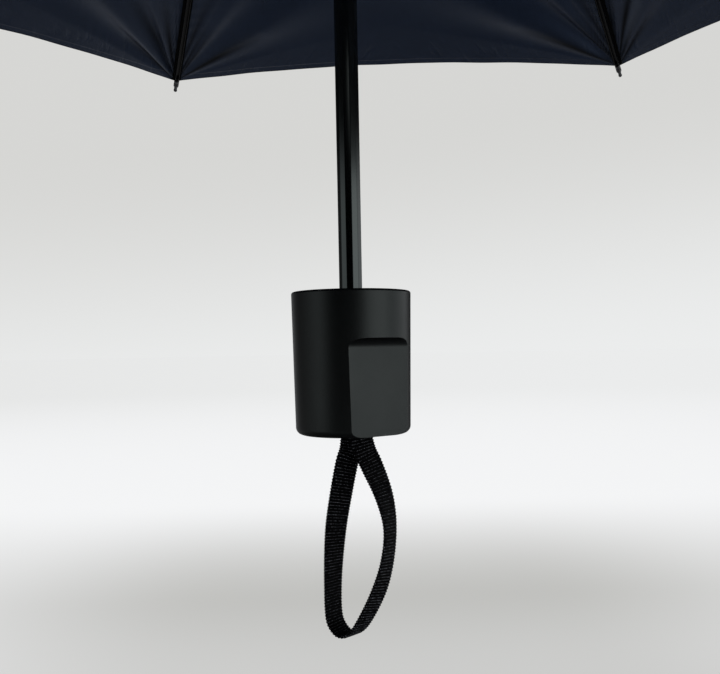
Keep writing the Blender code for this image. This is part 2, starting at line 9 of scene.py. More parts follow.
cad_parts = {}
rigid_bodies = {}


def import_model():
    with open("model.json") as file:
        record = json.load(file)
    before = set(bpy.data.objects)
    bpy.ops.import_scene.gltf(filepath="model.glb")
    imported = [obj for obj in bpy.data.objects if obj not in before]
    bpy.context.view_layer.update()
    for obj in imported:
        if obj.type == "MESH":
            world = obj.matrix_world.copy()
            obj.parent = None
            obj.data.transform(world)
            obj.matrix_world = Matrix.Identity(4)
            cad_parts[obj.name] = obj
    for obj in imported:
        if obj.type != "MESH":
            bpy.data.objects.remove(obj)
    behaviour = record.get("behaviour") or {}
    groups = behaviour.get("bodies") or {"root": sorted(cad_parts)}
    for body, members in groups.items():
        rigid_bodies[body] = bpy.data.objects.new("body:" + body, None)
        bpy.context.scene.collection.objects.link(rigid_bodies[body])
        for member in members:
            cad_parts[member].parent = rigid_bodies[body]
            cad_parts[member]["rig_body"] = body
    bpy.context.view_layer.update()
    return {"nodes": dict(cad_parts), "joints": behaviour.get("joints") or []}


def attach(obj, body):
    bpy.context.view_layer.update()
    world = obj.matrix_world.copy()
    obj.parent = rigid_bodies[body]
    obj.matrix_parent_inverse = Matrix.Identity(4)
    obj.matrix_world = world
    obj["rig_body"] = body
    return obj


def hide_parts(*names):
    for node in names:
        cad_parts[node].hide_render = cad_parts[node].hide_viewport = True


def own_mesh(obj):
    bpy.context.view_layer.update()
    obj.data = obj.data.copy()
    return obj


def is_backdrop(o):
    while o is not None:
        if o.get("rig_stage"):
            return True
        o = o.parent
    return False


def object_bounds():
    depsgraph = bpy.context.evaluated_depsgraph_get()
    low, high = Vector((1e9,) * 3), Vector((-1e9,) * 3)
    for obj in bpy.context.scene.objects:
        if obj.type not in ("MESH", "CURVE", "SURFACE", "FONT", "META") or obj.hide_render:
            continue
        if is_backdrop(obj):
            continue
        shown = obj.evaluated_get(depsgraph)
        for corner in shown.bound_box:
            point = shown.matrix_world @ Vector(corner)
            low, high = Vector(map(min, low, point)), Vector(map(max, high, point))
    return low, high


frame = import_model()
joints = {joint["name"]: joint for joint in frame["joints"]}
print("frame loaded with", len(frame["nodes"]), "nodes")


# Shader maths: a wire is one node's output, and Python's signs add Math nodes to it
class Wire:
    def __init__(self, socket):
        self.socket = socket
        self.tree = socket.id_data

    def maths(self, operation, *terms):
        node = self.tree.nodes.new("ShaderNodeMath")
        node.operation = operation
        for entry, term in zip(node.inputs, terms):
            if isinstance(term, Wire):
                self.tree.links.new(term.socket, entry)
            else:
                entry.default_value = term
        return Wire(node.outputs[0])

    def __add__(self, other):
        return self.maths("ADD", self, other)

    def __sub__(self, other):
        return self.maths("SUBTRACT", self, other)

    def __rsub__(self, other):
        return self.maths("SUBTRACT", other, self)

    def __mul__(self, other):
        return self.maths("MULTIPLY", self, other)

    def __truediv__(self, other):
        return self.maths("DIVIDE", self, other)

    def __pow__(self, other):
        return self.maths("POWER", self, other)

    def __lt__(self, other):
        return self.maths("LESS_THAN", self, other)

    def __abs__(self):
        return self.maths("ABSOLUTE", self)


class Finish:
    def __init__(self, name, tree=None):
        self.tree = tree
        if tree is None:
            self.material = bpy.data.materials.new(name)
            self.material.use_nodes = True
            self.tree = self.material.node_tree
            self.shader = self.tree.nodes["Principled BSDF"]

    def join(self, value, entry):
        if isinstance(value, Wire):
            self.tree.links.new(value.socket, entry)
        else:
            entry.default_value = value

    def node(self, kind, settings=None, sockets=None, out=0):
        # Any node but Math: its settings first, then the values or wires of its sockets
        node = self.tree.nodes.new(kind)
        for key, value in (settings or {}).items():
            if key == "stops":
                while len(node.color_ramp.elements) < len(value):
                    node.color_ramp.elements.new(0.5)
                for stop, (spot, tone) in zip(node.color_ramp.elements, value):
                    stop.position = spot
                    stop.color = (*tone, 1.0)
            else:
                setattr(node, key, value)
        for key, value in (sockets or {}).items():
            self.join(value, node.inputs[key])
        return Wire(node.outputs[out])

    def shade(self, **sockets):
        for key, value in sockets.items():
            self.join(value, self.shader.inputs[key.replace("_", " ")])

    def stretch(self, vector, scale):
        return self.node("ShaderNodeMapping", {}, {"Vector": vector, "Scale": scale})

    def place(self, scale=(1, 1, 1)):
        return self.stretch(self.node("ShaderNodeTexCoord", out="Object"), scale)

    def rays(self, *kinds):
        path = self.tree.nodes.new("ShaderNodeLightPath")
        return [Wire(path.outputs[f"Is {kind} Ray"]) for kind in kinds]

    def parts(self, vector):
        split = self.tree.nodes.new("ShaderNodeSeparateXYZ")
        self.join(vector, split.inputs[0])
        return [Wire(output) for output in split.outputs]

    def way(self, name):
        # A piece's own attribute, in metres, and its three parts
        spot = self.node("ShaderNodeAttribute", {"attribute_name": name}, out="Vector")
        return spot, self.parts(spot)

    def noise(self, vector, scale, detail=2.0, rough=0.5):
        return self.node("ShaderNodeTexNoise", {}, {
            "Vector": vector, "Scale": scale, "Detail": detail, "Roughness": rough})

    def step(self, value, low, high, start=0.0, end=1.0):
        return self.node("ShaderNodeMapRange", {"interpolation_type": "SMOOTHSTEP"}, {
            "Value": value, "From Min": low, "From Max": high, "To Min": start, "To Max": end})

    def mix(self, factor, first, second):
        pair = [(*tone, 1.0) if isinstance(tone, tuple) else tone for tone in (first, second)]
        return self.node("ShaderNodeMix", {"data_type": "RGBA"}, {0: factor, 6: pair[0], 7: pair[1]}, out=2)

    def bump(self, height, distance, strength):
        return self.node("ShaderNodeBump", {}, {"Strength": strength, "Distance": distance, "Height": height})


# Plastics and steels: cloudy colour, an uneven gloss and a fine grain, one dictionary of looks for each
handleLook = {"dark": (0.0012, 0.0014, 0.0018), "light": (0.0024, 0.0027, 0.0032), "roughness": 0.36,
              "metal": 0.0, "grain": 2600.0, "grainDepth": 0.00003, "gloss": 0.40, "tint": (0.90, 1.0, 0.98)}
hubLook = {"dark": (0.0030, 0.0030, 0.0034), "light": (0.0060, 0.0060, 0.0066), "roughness": 0.38,
           "metal": 0.0, "grain": 1800.0, "grainDepth": 0.00002, "gloss": 0.45, "tint": (1.0, 1.0, 1.0)}
steelLook = {"dark": (0.0016, 0.0016, 0.0019), "light": (0.0040, 0.0040, 0.0046), "roughness": 0.34,
             "metal": 0.15, "grain": 1500.0, "grainDepth": 0.00001, "gloss": 0.40, "tint": (1.0, 1.0, 1.0)}
wireLook = {"dark": (0.30, 0.30, 0.31), "light": (0.46, 0.46, 0.47), "roughness": 0.28,
            "metal": 1.0, "grain": 2200.0, "grainDepth": 0.000008, "gloss": 0.50, "tint": (1.0, 1.0, 1.0)}
tipLook = {"dark": (0.022, 0.022, 0.024), "light": (0.045, 0.045, 0.049), "roughness": 0.38,
           "metal": 0.0, "grain": 2400.0, "grainDepth": 0.00002, "gloss": 0.50, "tint": (1.0, 1.0, 1.0)}
wear = {"clouds": 55.0, "cloudy": (0.35, 0.70), "cloudGloss": 0.14, "grainGloss": 0.10}


def plainFinish(name, look):
    finish = Finish(name)
    finish.shade(Specular_IOR_Level=look["gloss"], Specular_Tint=(*look["tint"], 1.0))
    cloud = finish.noise(finish.place(), wear["clouds"], 4.0, 0.6)
    fine = finish.noise(finish.place(), look["grain"], 2.0, 0.6)
    uneven = (cloud - 0.5) * wear["cloudGloss"] + (fine - 0.5) * wear["grainGloss"]
    finish.shade(Base_Color=finish.mix(finish.step(cloud, *wear["cloudy"]), look["dark"], look["light"]),
                 Roughness=uneven + look["roughness"], Metallic=look["metal"],
                 Normal=finish.bump(fine, look["grainDepth"], 0.6))
    return finish.material


# Tubes: dark gloss paint with faint streaks along the shaft
tubeLook = {"dark": (0.0008, 0.0009, 0.0011), "light": (0.0018, 0.0018, 0.0020), "roughness": 0.12,
            "streaks": (1200.0, 1200.0, 18.0), "streakDepth": 0.000006, "streakGloss": 0.06, "clouds": 40.0,
            "cloudGloss": 0.05, "gloss": 0.66, "tint": (0.88, 1.0, 0.98)}


def tubeFinish():
    finish = Finish("tube_paint")
    streak = finish.noise(finish.place(tubeLook["streaks"]), 1.0, 3.0, 0.55)
    cloud = finish.noise(finish.place(), tubeLook["clouds"], 3.0)
    uneven = (streak - 0.5) * tubeLook["streakGloss"] + (cloud - 0.5) * tubeLook["cloudGloss"]
    finish.shade(Base_Color=finish.mix(finish.step(cloud, 0.35, 0.75), tubeLook["dark"], tubeLook["light"]),
                 Roughness=uneven + tubeLook["roughness"], Specular_IOR_Level=tubeLook["gloss"],
                 Normal=finish.bump(streak, tubeLook["streakDepth"], 0.5),
                 Specular_Tint=(*tubeLook["tint"], 1.0))
    return finish.material


# Cloth: plain weave that follows the sheet, with a felled seam over each rib and a turned hem, in metres
# The table also holds the near-black colour and the strength of the painted shade on the seam strips and in
# the creases
clothLook = {"warp": (0.0050, 0.0088, 0.0200), "weft": (0.0078, 0.0132, 0.0285),
             "thread": (0.011, 0.015, 0.028), "paintedShadeCloth": (0.0006, 0.0008, 0.0012),
             "edge": (0.0012, 0.0015, 0.0026), "roughness": 0.29, "gloss": 0.60, "tint": (0.42, 0.60, 1.0),
             "sheen": 0.02, "sheenTint": (0.55, 0.62, 0.85), "pitch": 0.00042, "slub": 9.0,
             "seamHalf": 0.0040, "hem": 0.0070, "stitch": 0.0026, "stitchShare": 0.68, "seamStitch": 0.0022,
             "hemStitch": 0.0056, "threadHalf": 0.00022, "creases": 0.95, "crinkles": (150.0, 35.0, 0.0)}
clothRise = {"weave": 0.000012, "slub": 0.00002, "seam": 0.00045, "hem": 0.00035, "thread": 0.00012,
             "crinkle": 0.00050}


def dashes(way):
    turns = way / clothLook["stitch"]
    return turns.maths("FRACT", turns) < clothLook["stitchShare"]


def clothFinish():
    finish = Finish("canopy_cloth")
    spot, (across, along, toHem) = finish.way("cloth")
    turn = math.tau / clothLook["pitch"]
    slub = finish.noise(finish.stretch(spot, (900.0, 60.0, 1.0)), 1.0, 3.0, 0.6)
    slubCross = finish.noise(finish.stretch(spot, (60.0, 900.0, 1.0)), 1.0, 3.0, 0.6)
    warp = across * turn + slub * clothLook["slub"]
    weft = along * turn + slubCross * clothLook["slub"]
    weave = warp.maths("SINE", warp) * weft.maths("SINE", weft)
    cloud = finish.noise(finish.place(), 14.0, 4.0, 0.6)
    fromSeam = abs(across)
    seam = 1.0 - finish.step(fromSeam, clothLook["seamHalf"] - 0.0004, clothLook["seamHalf"])
    hem = 1.0 - finish.step(toHem, clothLook["hem"] - 0.0005, clothLook["hem"])
    seamThread = (abs(fromSeam - clothLook["seamStitch"]) < clothLook["threadHalf"]) * dashes(along)
    hemThread = (abs(toHem - clothLook["hemStitch"]) < clothLook["threadHalf"]) * dashes(across)
    thread = seamThread.maths("MAXIMUM", seamThread, hemThread)
    tone = finish.step(slub + slubCross + (cloud - 0.5) * 0.7, 0.65, 1.35)
    cloth = finish.mix(tone, clothLook["warp"], clothLook["weft"])
    cloth = finish.mix(1.0 - finish.step(toHem, 0.0004, 0.0014), cloth, clothLook["edge"])
    crinkle = finish.noise(finish.stretch(spot, clothLook["crinkles"]), 1.0, 3.0, 0.55)
    crinkle = finish.step(crinkle, 0.50, 0.80) * (1.0 - finish.step(toHem, 0.010, 0.045))
    height = weave * clothRise["weave"]
    for name, wire in (("slub", slub), ("slub", slubCross), ("seam", seam), ("hem", hem), ("thread", thread),
                       ("crinkle", crinkle)):
        height = height + wire * clothRise[name]
    finish.shade(Base_Color=finish.mix(thread, cloth, clothLook["thread"]),
                 Roughness=(cloud - 0.5) * 0.10 + clothLook["roughness"],
                 Normal=finish.bump(height, 1.0, 0.8), Specular_IOR_Level=clothLook["gloss"],
                 Specular_Tint=(*clothLook["tint"], 1.0), Sheen_Weight=clothLook["sheen"],
                 Sheen_Tint=(*clothLook["sheenTint"], 1.0), Sheen_Roughness=0.4)

    # Painted shade: a dull, near-black shader over the seam strip under each rib and in the creases, standing
    # in for their shadow, on the inside of the canopy only
    paintedShadeCloth = finish.node("ShaderNodeBsdfPrincipled", {}, {
        "Base Color": (*clothLook["paintedShadeCloth"], 1.0), "Roughness": 0.7, "Specular IOR Level": 0.10,
        "Normal": finish.bump(height, 1.0, 0.8)})
    outer = finish.node("ShaderNodeAttribute", {"attribute_name": "outer"}, out="Fac")
    crease = finish.node("ShaderNodeAttribute", {"attribute_name": "crease"}, out="Fac")
    paintedShade = seam.maths("MAXIMUM", seam, crease * clothLook["creases"])
    both = finish.node("ShaderNodeMixShader", {}, {
        0: paintedShade * (1.0 - outer), 1: Wire(finish.shader.outputs[0]), 2: paintedShadeCloth})
    finish.join(both, finish.tree.nodes["Material Output"].inputs["Surface"])
    return finish.material


# Webbing: dark yarn with painted highlights, a light base colour in spots on the crest of each cross rib
webbingLook = {"dark": (0.0006, 0.0006, 0.0009), "light": (0.3000, 0.3150, 0.3500), "roughness": 0.40,
               "yarns": (5200.0, 1500.0, 1500.0), "clumps": (2600.0, 2600.0, 900.0), "ribPitch": 0.00107,
               "paintedGlint": (0.60, 0.86), "gloss": 0.05, "yarnRise": 0.00016, "clumpRise": 0.00006}


def webbingFinish():
    finish = Finish("strap_webbing")
    spot, parts = finish.way("webbing")
    yarn = finish.noise(finish.stretch(spot, webbingLook["yarns"]), 1.0, 3.0, 0.65)
    clump = finish.noise(finish.stretch(spot, webbingLook["clumps"]), 1.0)
    turns = parts[1] / webbingLook["ribPitch"] * math.tau
    crest = turns.maths("COSINE", turns) * 0.5 + 0.5
    # Painted highlights: light base colour where the yarn noise peaks on a crest
    paintedGlint = finish.step(yarn * crest + clump * 0.30, *webbingLook["paintedGlint"])
    height = yarn * webbingLook["yarnRise"] + clump * webbingLook["clumpRise"]
    finish.shade(Base_Color=finish.mix(paintedGlint, webbingLook["dark"], webbingLook["light"]),
                 Roughness=(yarn - 0.5) * 0.20 + webbingLook["roughness"],
                 Normal=finish.bump(height, 1.0, 0.8), Specular_IOR_Level=webbingLook["gloss"])
    return finish.material


finishes = {
    "handle": plainFinish("handle_plastic", handleLook), "hub": plainFinish("hub_plastic", hubLook),
    "tube": tubeFinish(), "steel": plainFinish("rib_steel", steelLook),
    "wire": plainFinish("bright_wire", wireLook), "tip": plainFinish("tip_plastic", tipLook),
    "cloth": clothFinish(), "webbing": webbingFinish(),
}
nodeFinishes = {"base_plug": "handle", "top_hub": "hub", "runner": "hub", "runner_button": "hub",
                "top_cap": "hub", "strap_pin": "wire", "hub_hinge_wire": "wire", "runner_hinge_wire": "wire",
                "handle_shell": "handle", "cap_washer": "cloth", "closing_band": "cloth", "canopy": "cloth",
                "wrist_strap": "webbing"}
for name, node in frame["nodes"].items():
    key = nodeFinishes.get(name)
    if key is None:
        key = "tube" if "tube" in name else "tip" if "tip" in name else "steel"
    for entry in node.material_slots:
        entry.material = finishes[key]
print("finishes made:", len(finishes))


def added(name, data):
    item = bpy.data.objects.new(name, data)
    bpy.context.scene.collection.objects.link(item)
    return item


def meshOf(name, bm):
    mesh = bpy.data.meshes.new(name)
    bm.to_mesh(mesh)
    bm.free()
    return mesh


def weld(bm, reach):
    bmesh.ops.remove_doubles(bm, verts=bm.verts, dist=reach)


def faceOut(bm):
    bmesh.ops.recalc_face_normals(bm, faces=bm.faces)


def extruded(bm, faces):
    # The new points, still in the place of the old ones
    grown = bmesh.ops.extrude_face_region(bm, geom=faces)["geom"]
    return [part for part in grown if isinstance(part, bmesh.types.BMVert)]


def roundEdges(bm, edges, radius, segments):
    bmesh.ops.bevel(bm, geom=edges, offset=radius, segments=segments, profile=0.5, affect="EDGES",
                    material=-1, clamp_overlap=True)


def settle(name, bm, finish, body, angle, stands=()):
    # The bmesh becomes a piece at the origin that rides on a body
    mesh = meshOf(name, bm)
    mesh.shade_smooth()
    mesh.set_sharp_from_angle(angle=math.radians(angle))
    mesh.materials.append(finishes[finish])
    piece = added(name, mesh)
    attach(piece, body)
    if stands:
        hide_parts(*stands)
    return piece


def spun(profile, sides, closed=False):
    # A profile of (radius, height) points turned about Z
    bm = bmesh.new()
    verts = [bm.verts.new((radius, 0.0, height)) for radius, height in profile]
    edges = [bm.edges.new(pair) for pair in zip(verts, verts[1:])]
    if closed:
        edges.append(bm.edges.new((verts[-1], verts[0])))
    bmesh.ops.spin(bm, geom=verts + edges, cent=(0, 0, 0), axis=(0, 0, 1), angle=math.tau, steps=sides,
                   use_merge=True, use_duplicate=False)
    weld(bm, 0.000001)
    faceOut(bm)
    return bm


def bow(centre, radius, start, end, steps):
    # Points on a round stretch of a profile, angles in degrees
    angles = [math.radians(start + (end - start) * step / steps) for step in range(steps + 1)]
    return [(centre[0] + radius * math.cos(angle), centre[1] + radius * math.sin(angle)) for angle in angles]


def polish(piece):
    # Large faces lead the shading, so that flats stay flat beside their rounded edges
    weigh = piece.modifiers.new("even_shading", "WEIGHTED_NORMAL")
    weigh.keep_sharp = True
    weigh.weight = 60


# Hard pieces that show: merged copies of their nodes, with worn-in rounded edges
rounding = {"lower_tube": 0.00028, "middle_tube": 0.00032, "upper_tube": 0.00036,
            "middle_tube_collar": 0.00015, "upper_tube_collar": 0.00015, "top_hub": 0.00018,
            "runner": 0.00025, "runner_button": 0.00015, "top_cap": 0.00030, "base_plug": 0.00020}
for name, radius in rounding.items():
    node = frame["nodes"][name]
    bm = bmesh.new()
    bm.from_mesh(node.data)
    weld(bm, 0.000002)
    bmesh.ops.dissolve_limit(bm, angle_limit=math.radians(0.4), verts=bm.verts, edges=bm.edges)
    limit = 20.0 if "tube" in name and "collar" not in name else 32.0
    rims = [edge for edge in bm.edges if len(edge.link_faces) == 2
            and edge.calc_face_angle(0.0) > math.radians(limit)]
    roundEdges(bm, rims, radius, 2)
    key = nodeFinishes.get(name, "tube")
    piece = settle(name + "_finished", bm, key, node["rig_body"], limit, (name,))
    polish(piece)
print("hard pieces refined:", len(rounding))


# Handle: a short tapered cup with one flat under a rounded brow
grip = {"length": 0.0475, "top": 0.0400, "bottom": 0.0388, "topRound": 0.0008, "bottomRound": 0.0024,
        "plugBore": 0.0143, "plugTop": 0.0023, "cavity": 0.0138, "socket": 0.00423, "socketDepth": 0.0280,
        "flatDepth": 0.00395, "flatTop": 0.0156, "flatRound": 0.0032, "flatTurn": -57.5, "edge": 0.00030,
        "over": 0.003, "rimAngle": 14.0, "sides": 160}


def makeHandle():
    half = grip["length"] / 2
    top, bottom = grip["top"] / 2, grip["bottom"] / 2
    upper, lower = grip["topRound"], grip["bottomRound"]
    profile = [(grip["socket"], half)]
    profile += bow((top - upper, half - upper), upper, 90, 0, 5)
    profile += bow((bottom - lower, lower - half), lower, 0, -90, 10)
    profile += [(grip["plugBore"], -half), (grip["plugBore"], grip["plugTop"] - half),
                (grip["cavity"], grip["plugTop"] - half), (grip["cavity"], half - grip["socketDepth"]),
                (grip["socket"], half - grip["socketDepth"])]
    body = meshOf("handle_body", spun(profile, grip["sides"], closed=True))

    # The flat's cutter: its side view drawn as one face and extruded
    flat, brow, over = top - grip["flatDepth"], half - grip["flatTop"], grip["over"]
    outline = [(flat, -half - over), (top + over, -half - over), (top + over, brow)]
    outline += bow((flat + grip["flatRound"], brow - grip["flatRound"]), grip["flatRound"], 90, 180, 14)
    cutter = bmesh.new()
    face = cutter.faces.new([cutter.verts.new((x, -top, z)) for x, z in outline])
    bmesh.ops.translate(cutter, verts=extruded(cutter, [face]), vec=(0, grip["top"], 0))
    faceOut(cutter)
    turn = Matrix.Rotation(math.radians(grip["flatTurn"]), 4, "Z")
    bmesh.ops.transform(cutter, matrix=turn, verts=cutter.verts)
    work = [added(mesh.name, mesh) for mesh in (body, meshOf("flat_cutter", cutter))]
    carve = work[0].modifiers.new("flat", "BOOLEAN")
    carve.operation = "DIFFERENCE"
    carve.object = work[1]
    bpy.context.view_layer.update()
    cut = work[0].evaluated_get(bpy.context.evaluated_depsgraph_get()).to_mesh()
    bm = bmesh.new()
    bm.from_mesh(cut)
    for item in work:
        bpy.data.objects.remove(item, do_unlink=True)

    # Round the rim between the flat and the cup's side
    weld(bm, 0.000004)
    facing = turn.to_3x3() @ Vector((1, 0, 0))
    rims = []
    for edge in bm.edges:
        if len(edge.link_faces) != 2 or edge.calc_face_angle(0.0) < math.radians(grip["rimAngle"]):
            continue
        middle = (edge.verts[0].co + edge.verts[1].co) / 2
        if middle.dot(facing) > flat - 0.0001 and middle.z < brow + 0.0004:
            rims.append(edge)
    roundEdges(bm, rims, grip["edge"], 3)
    faceOut(bm)
    polish(settle("handle_cup", bm, "handle", "handle", 30.0, ("handle_shell",)))


makeHandle()
print("handle made")


# Canopy: the surface that the fabric is stretched into, over eight ribs of three lengths each
canopy = {"ribs": 8, "firstRib": 62.4, "hubReach": 0.0100, "hubHeight": 0.39225,
          "runs": ((0.171, 0.30), (0.174, 0.37), (0.165, 0.32)),     # length and fall of each stretch
          "soften": 0.018, "lift": 0.0040, "thick": 0.0004, "hole": 0.0032, "scallop": 0.055, "dip": 0.012,
          "hemDrop": (-0.0044, -0.0022, 0.0, 0.0, 0.0, 0.0, 0.0, 0.0018),       # of each panel
          "hem": 0.0072, "hemEdge": 0.0006, "hemThick": 0.0003,
          "columns": (56, 56, 110), "rows": (30, 36, 64), "gather": 2.0, "gatherShare": 0.85, "crowd": 1.4,
          "flatReach": 0.43, "ease": 1.03}
folds = {"slope": 0.95, "reach": 0.080, "steps": (0.40, 0.94), "start": (0.05, 0.05), "end": (1.25, 0.45),
         "sides": ((1, 3.4, 1.30), (-1, 3.5, 0.70)), "byPanel": 1.3}            # way, shift and size
creases = ((0.11, 0.045, 0.130, 0.70), (0.27, 0.050, 0.120, 1.00), (0.45, 0.060, 0.100, 0.85),
           (0.86, 0.110, 0.085, 1.00))                # bearing from the rib, breadth, reach and depth
creaseSlope = 0.30
hemWave = {"rise": 0.00015, "waves": ((1.0, 31.0, 1.9), (0.6, 53.0, 0.8)), "fromHem": 0.020, "fromRib": 0.030}
pucker = {"rise": 0.00016, "turns": 430.0, "drift": 2.5, "driftTurns": 75.0, "fromRib": 0.010, "rib": 0.004,
          "fromHub": 0.05}
foldedShare = {"inner": 0.11, "middle": 0.060, "outer": 0.045}       # of a strip's width, runner down


def ribStations():
    radius = canopy["hubReach"]
    height = canopy["hubHeight"]
    stations = [(radius, height)]
    for length, fall in canopy["runs"]:
        slope = math.atan(fall)
        radius += length * math.cos(slope)
        height -= length * math.sin(slope)
        stations.append((radius, height))
    return stations


stations = ribStations()
cornerReach = stations[-1][0]


def ribAngle(index):
    return math.radians(canopy["firstRib"]) + math.tau * index / canopy["ribs"]


def ribHeight(radius):
    # Height of the fabric over a rib, rounded a little where the rib changes slope
    reach = np.array([place[0] for place in stations])
    level = np.array([place[1] for place in stations])
    soft = canopy["soften"]
    spots = [radius + soft * share for share in (-1.0, -0.5, 0.0, 0.5, 1.0)]
    rows = [np.interp(spot, reach, level) + np.minimum(0.0, reach[-1] - spot) * canopy["runs"][-1][1]
            for spot in spots]
    return np.where(radius < reach[0] + soft, rows[2], sum(rows) / len(rows)) + canopy["lift"]


# Folds from a corner: their spacing by the logarithm of the bearing from the rib, close beside it and wide
# further round
foldBearing = np.linspace(-3.5, 0.6, 400)
foldStep = np.interp(foldBearing, (-1.35, -0.75), folds["steps"])
foldTurns = math.tau * np.cumsum(1 / foldStep) * (foldBearing[1] - foldBearing[0])


def creaseField(rib, way, span, away):
    # Sharp creases beside a rib's tip, a little different at each: how much painted shade the cloth gets
    # there and how deep the cloth is there
    distance = np.sqrt(span ** 2 + away ** 2)
    bearing = np.arctan2(span, away + 0.0001)
    paintedShade = np.zeros_like(distance)
    sink = np.zeros_like(distance)
    for index, (spot, breadth, reach, strength) in enumerate(creases):
        phase = 2.1 * rib + 1.7 * index + 1.1 * way
        middle = spot * (1 + 0.12 * np.sin(phase)) + 0.6 * distance * np.sin(phase + 0.8)
        line = np.exp(-((bearing - middle) / breadth) ** 2)
        fade = np.clip((reach * (0.8 + 0.2 * np.cos(phase)) - distance) / (0.5 * reach), 0.0, 1.0)
        paintedShade = np.maximum(paintedShade, strength * line * fade)
        sink = sink + creaseSlope * strength * breadth * distance * line * fade
    return paintedShade * np.minimum(1.0, distance / 0.003), sink


def canopyPoint(panel, across, ring):
    # A panel spans two ribs; its hem is drawn in between them and its middle dips a little
    panel = np.mod(np.asarray(panel, int), canopy["ribs"])
    arch = 4 * across * (1 - across)
    drawn = ring * (1 - canopy["scallop"] * arch * (ring / cornerReach) ** 3)
    first = ribAngle(panel)
    second = ribAngle(panel + 1)
    x = drawn * ((1 - across) * np.cos(first) + across * np.cos(second))
    y = drawn * ((1 - across) * np.sin(first) + across * np.sin(second))
    chord = 2 * drawn * math.sin(math.pi / canopy["ribs"])
    drop = np.array(canopy["hemDrop"])[panel]
    z = ribHeight(drawn) - canopy["dip"] * arch * chord + drop * arch * (ring / cornerReach) ** 4

    # Folds that spread from both corners, a slack wave along the hem, puckers along the seams
    nearRib = np.minimum(across, 1 - across) * chord
    away = np.maximum(cornerReach - ring, 0.0)
    for way, shift, size in folds["sides"]:
        span = (across if way > 0 else 1 - across) * chord
        distance = np.sqrt(span ** 2 + away ** 2)
        bearing = np.arctan2(span, away + 0.0001)
        fade = np.exp(-(distance / folds["reach"]) ** 1.5) * np.minimum(1.0, distance / 0.008)
        fade = fade * np.clip((folds["end"][0] - bearing) / folds["end"][1], 0.0, 1.0)
        fade = fade * np.clip((bearing - folds["start"][0]) / folds["start"][1], 0.0, 1.0)
        spread = np.log(np.maximum(bearing, 0.04))
        step = np.interp(spread, foldBearing, foldStep)
        turns = np.interp(spread, foldBearing, foldTurns) + shift + folds["byPanel"] * panel
        z = z + folds["slope"] * size * step / math.tau * span * fade * np.cos(turns)
        rib = np.mod(panel + (way < 0), canopy["ribs"])
        z = z + creaseField(rib, way, span, away)[1]
    wave = sum(size * np.cos(across * turns + panel * shift) for size, turns, shift in hemWave["waves"])
    fade = np.exp(-away / hemWave["fromHem"]) * np.minimum(1.0, nearRib / hemWave["fromRib"])
    z = z + hemWave["rise"] * wave * fade
    drift = pucker["drift"] * np.sin(ring * pucker["driftTurns"] + 2.0 * panel)
    fade = np.exp(-nearRib / pucker["fromRib"]) * np.minimum(1.0, nearRib / pucker["rib"])
    fade = fade * np.minimum(1.0, ring / pucker["fromHub"])
    z = z + pucker["rise"] * np.cos(ring * pucker["turns"] + drift + panel) * fade
    return np.stack([x, y, z], axis=-1)


def canopyPointBeside(rib, side, ring):
    # A point by its rib and its share of the way to the next rib, which is negative on the other side
    return canopyPoint(rib + np.floor(side), side - np.floor(side), ring)


def stripNormal(rib, side, ring):
    # The mean over a little way to both sides, so that neighbouring strips shade as one sheet
    total = 0
    for lean in (-0.004, 0.004):
        spot = side + lean
        ahead = canopyPointBeside(rib, spot, ring + 0.0008) - canopyPointBeside(rib, spot, ring - 0.0008)
        aside = canopyPointBeside(rib, spot + 0.002, ring) - canopyPointBeside(rib, spot - 0.002, ring)
        total = total + np.cross(ahead, aside)
    normal = total / np.linalg.norm(total, axis=-1, keepdims=True)
    return np.where(normal[..., 2:] < 0, -normal, normal)


def stripRing(share, side, low, high):
    # A strip's ends lie square to its rib on the rib's hinges, so that nothing sticks out past a folded one
    square = 1 / (1 - (1 - math.cos(math.tau / canopy["ribs"])) * np.abs(side))
    start = low * square
    end = cornerReach if high >= cornerReach else high * square
    return start + (end - start) * share


def clothStrip(rib, low, high, columns, rows):
    # One strip of the sheet over one length of a rib, with its thickness, as far as halfway to both next ribs
    bm = bmesh.new()
    bmesh.ops.create_grid(bm, x_segments=columns, y_segments=rows, size=0.5)
    mark = bm.verts.layers.float_vector.new("mark")
    cloth = bm.verts.layers.float_vector.new("cloth")
    outer = bm.verts.layers.float.new("outer")
    crease = bm.verts.layers.float.new("crease")
    for vert in bm.verts:
        vert[mark] = (vert.co.x, vert.co.y + 0.5, 0.0)
    for vert in extruded(bm, bm.faces[:]):
        vert[mark] = (vert[mark][0], vert[mark][1], 1.0)
        vert[outer] = 1.0
    marks = np.array([tuple(vert[mark]) for vert in bm.verts])
    width = np.abs(marks[:, 0] * 2)
    gathered = (1 - canopy["gatherShare"]) * width + canopy["gatherShare"] * width ** canopy["gather"]
    marks[:, 0] = np.sign(marks[:, 0]) * gathered / 2
    if high >= cornerReach:
        marks[:, 1] = 1 - (1 - marks[:, 1]) ** canopy["crowd"]
    ring = stripRing(marks[:, 1], marks[:, 0], low, high)
    points = canopyPointBeside(rib, marks[:, 0], ring)
    normals = stripNormal(rib, marks[:, 0], ring)
    chord = 2 * ring * math.sin(math.pi / canopy["ribs"])
    toHem = np.maximum(0.0, cornerReach - ring)
    hem = np.clip((canopy["hem"] - toHem) / canopy["hemEdge"], 0.0, 1.0)
    points = points + normals * (marks[:, 2:] * (canopy["thick"] + canopy["hemThick"] * hem[:, None]))
    # How much painted shade the cloth gets in the creases, kept on each point
    paintedShade = creaseField(rib, np.sign(marks[:, 0]), np.abs(marks[:, 0]) * chord, toHem)[0]
    ways = zip(marks[:, 0] * chord, ring, toHem)
    for vert, point, way, shadeHere in zip(bm.verts, points, ways, paintedShade):
        vert.co = point
        vert[cloth] = way
        vert[crease] = shadeHere
    faceOut(bm)
    return bm, normals


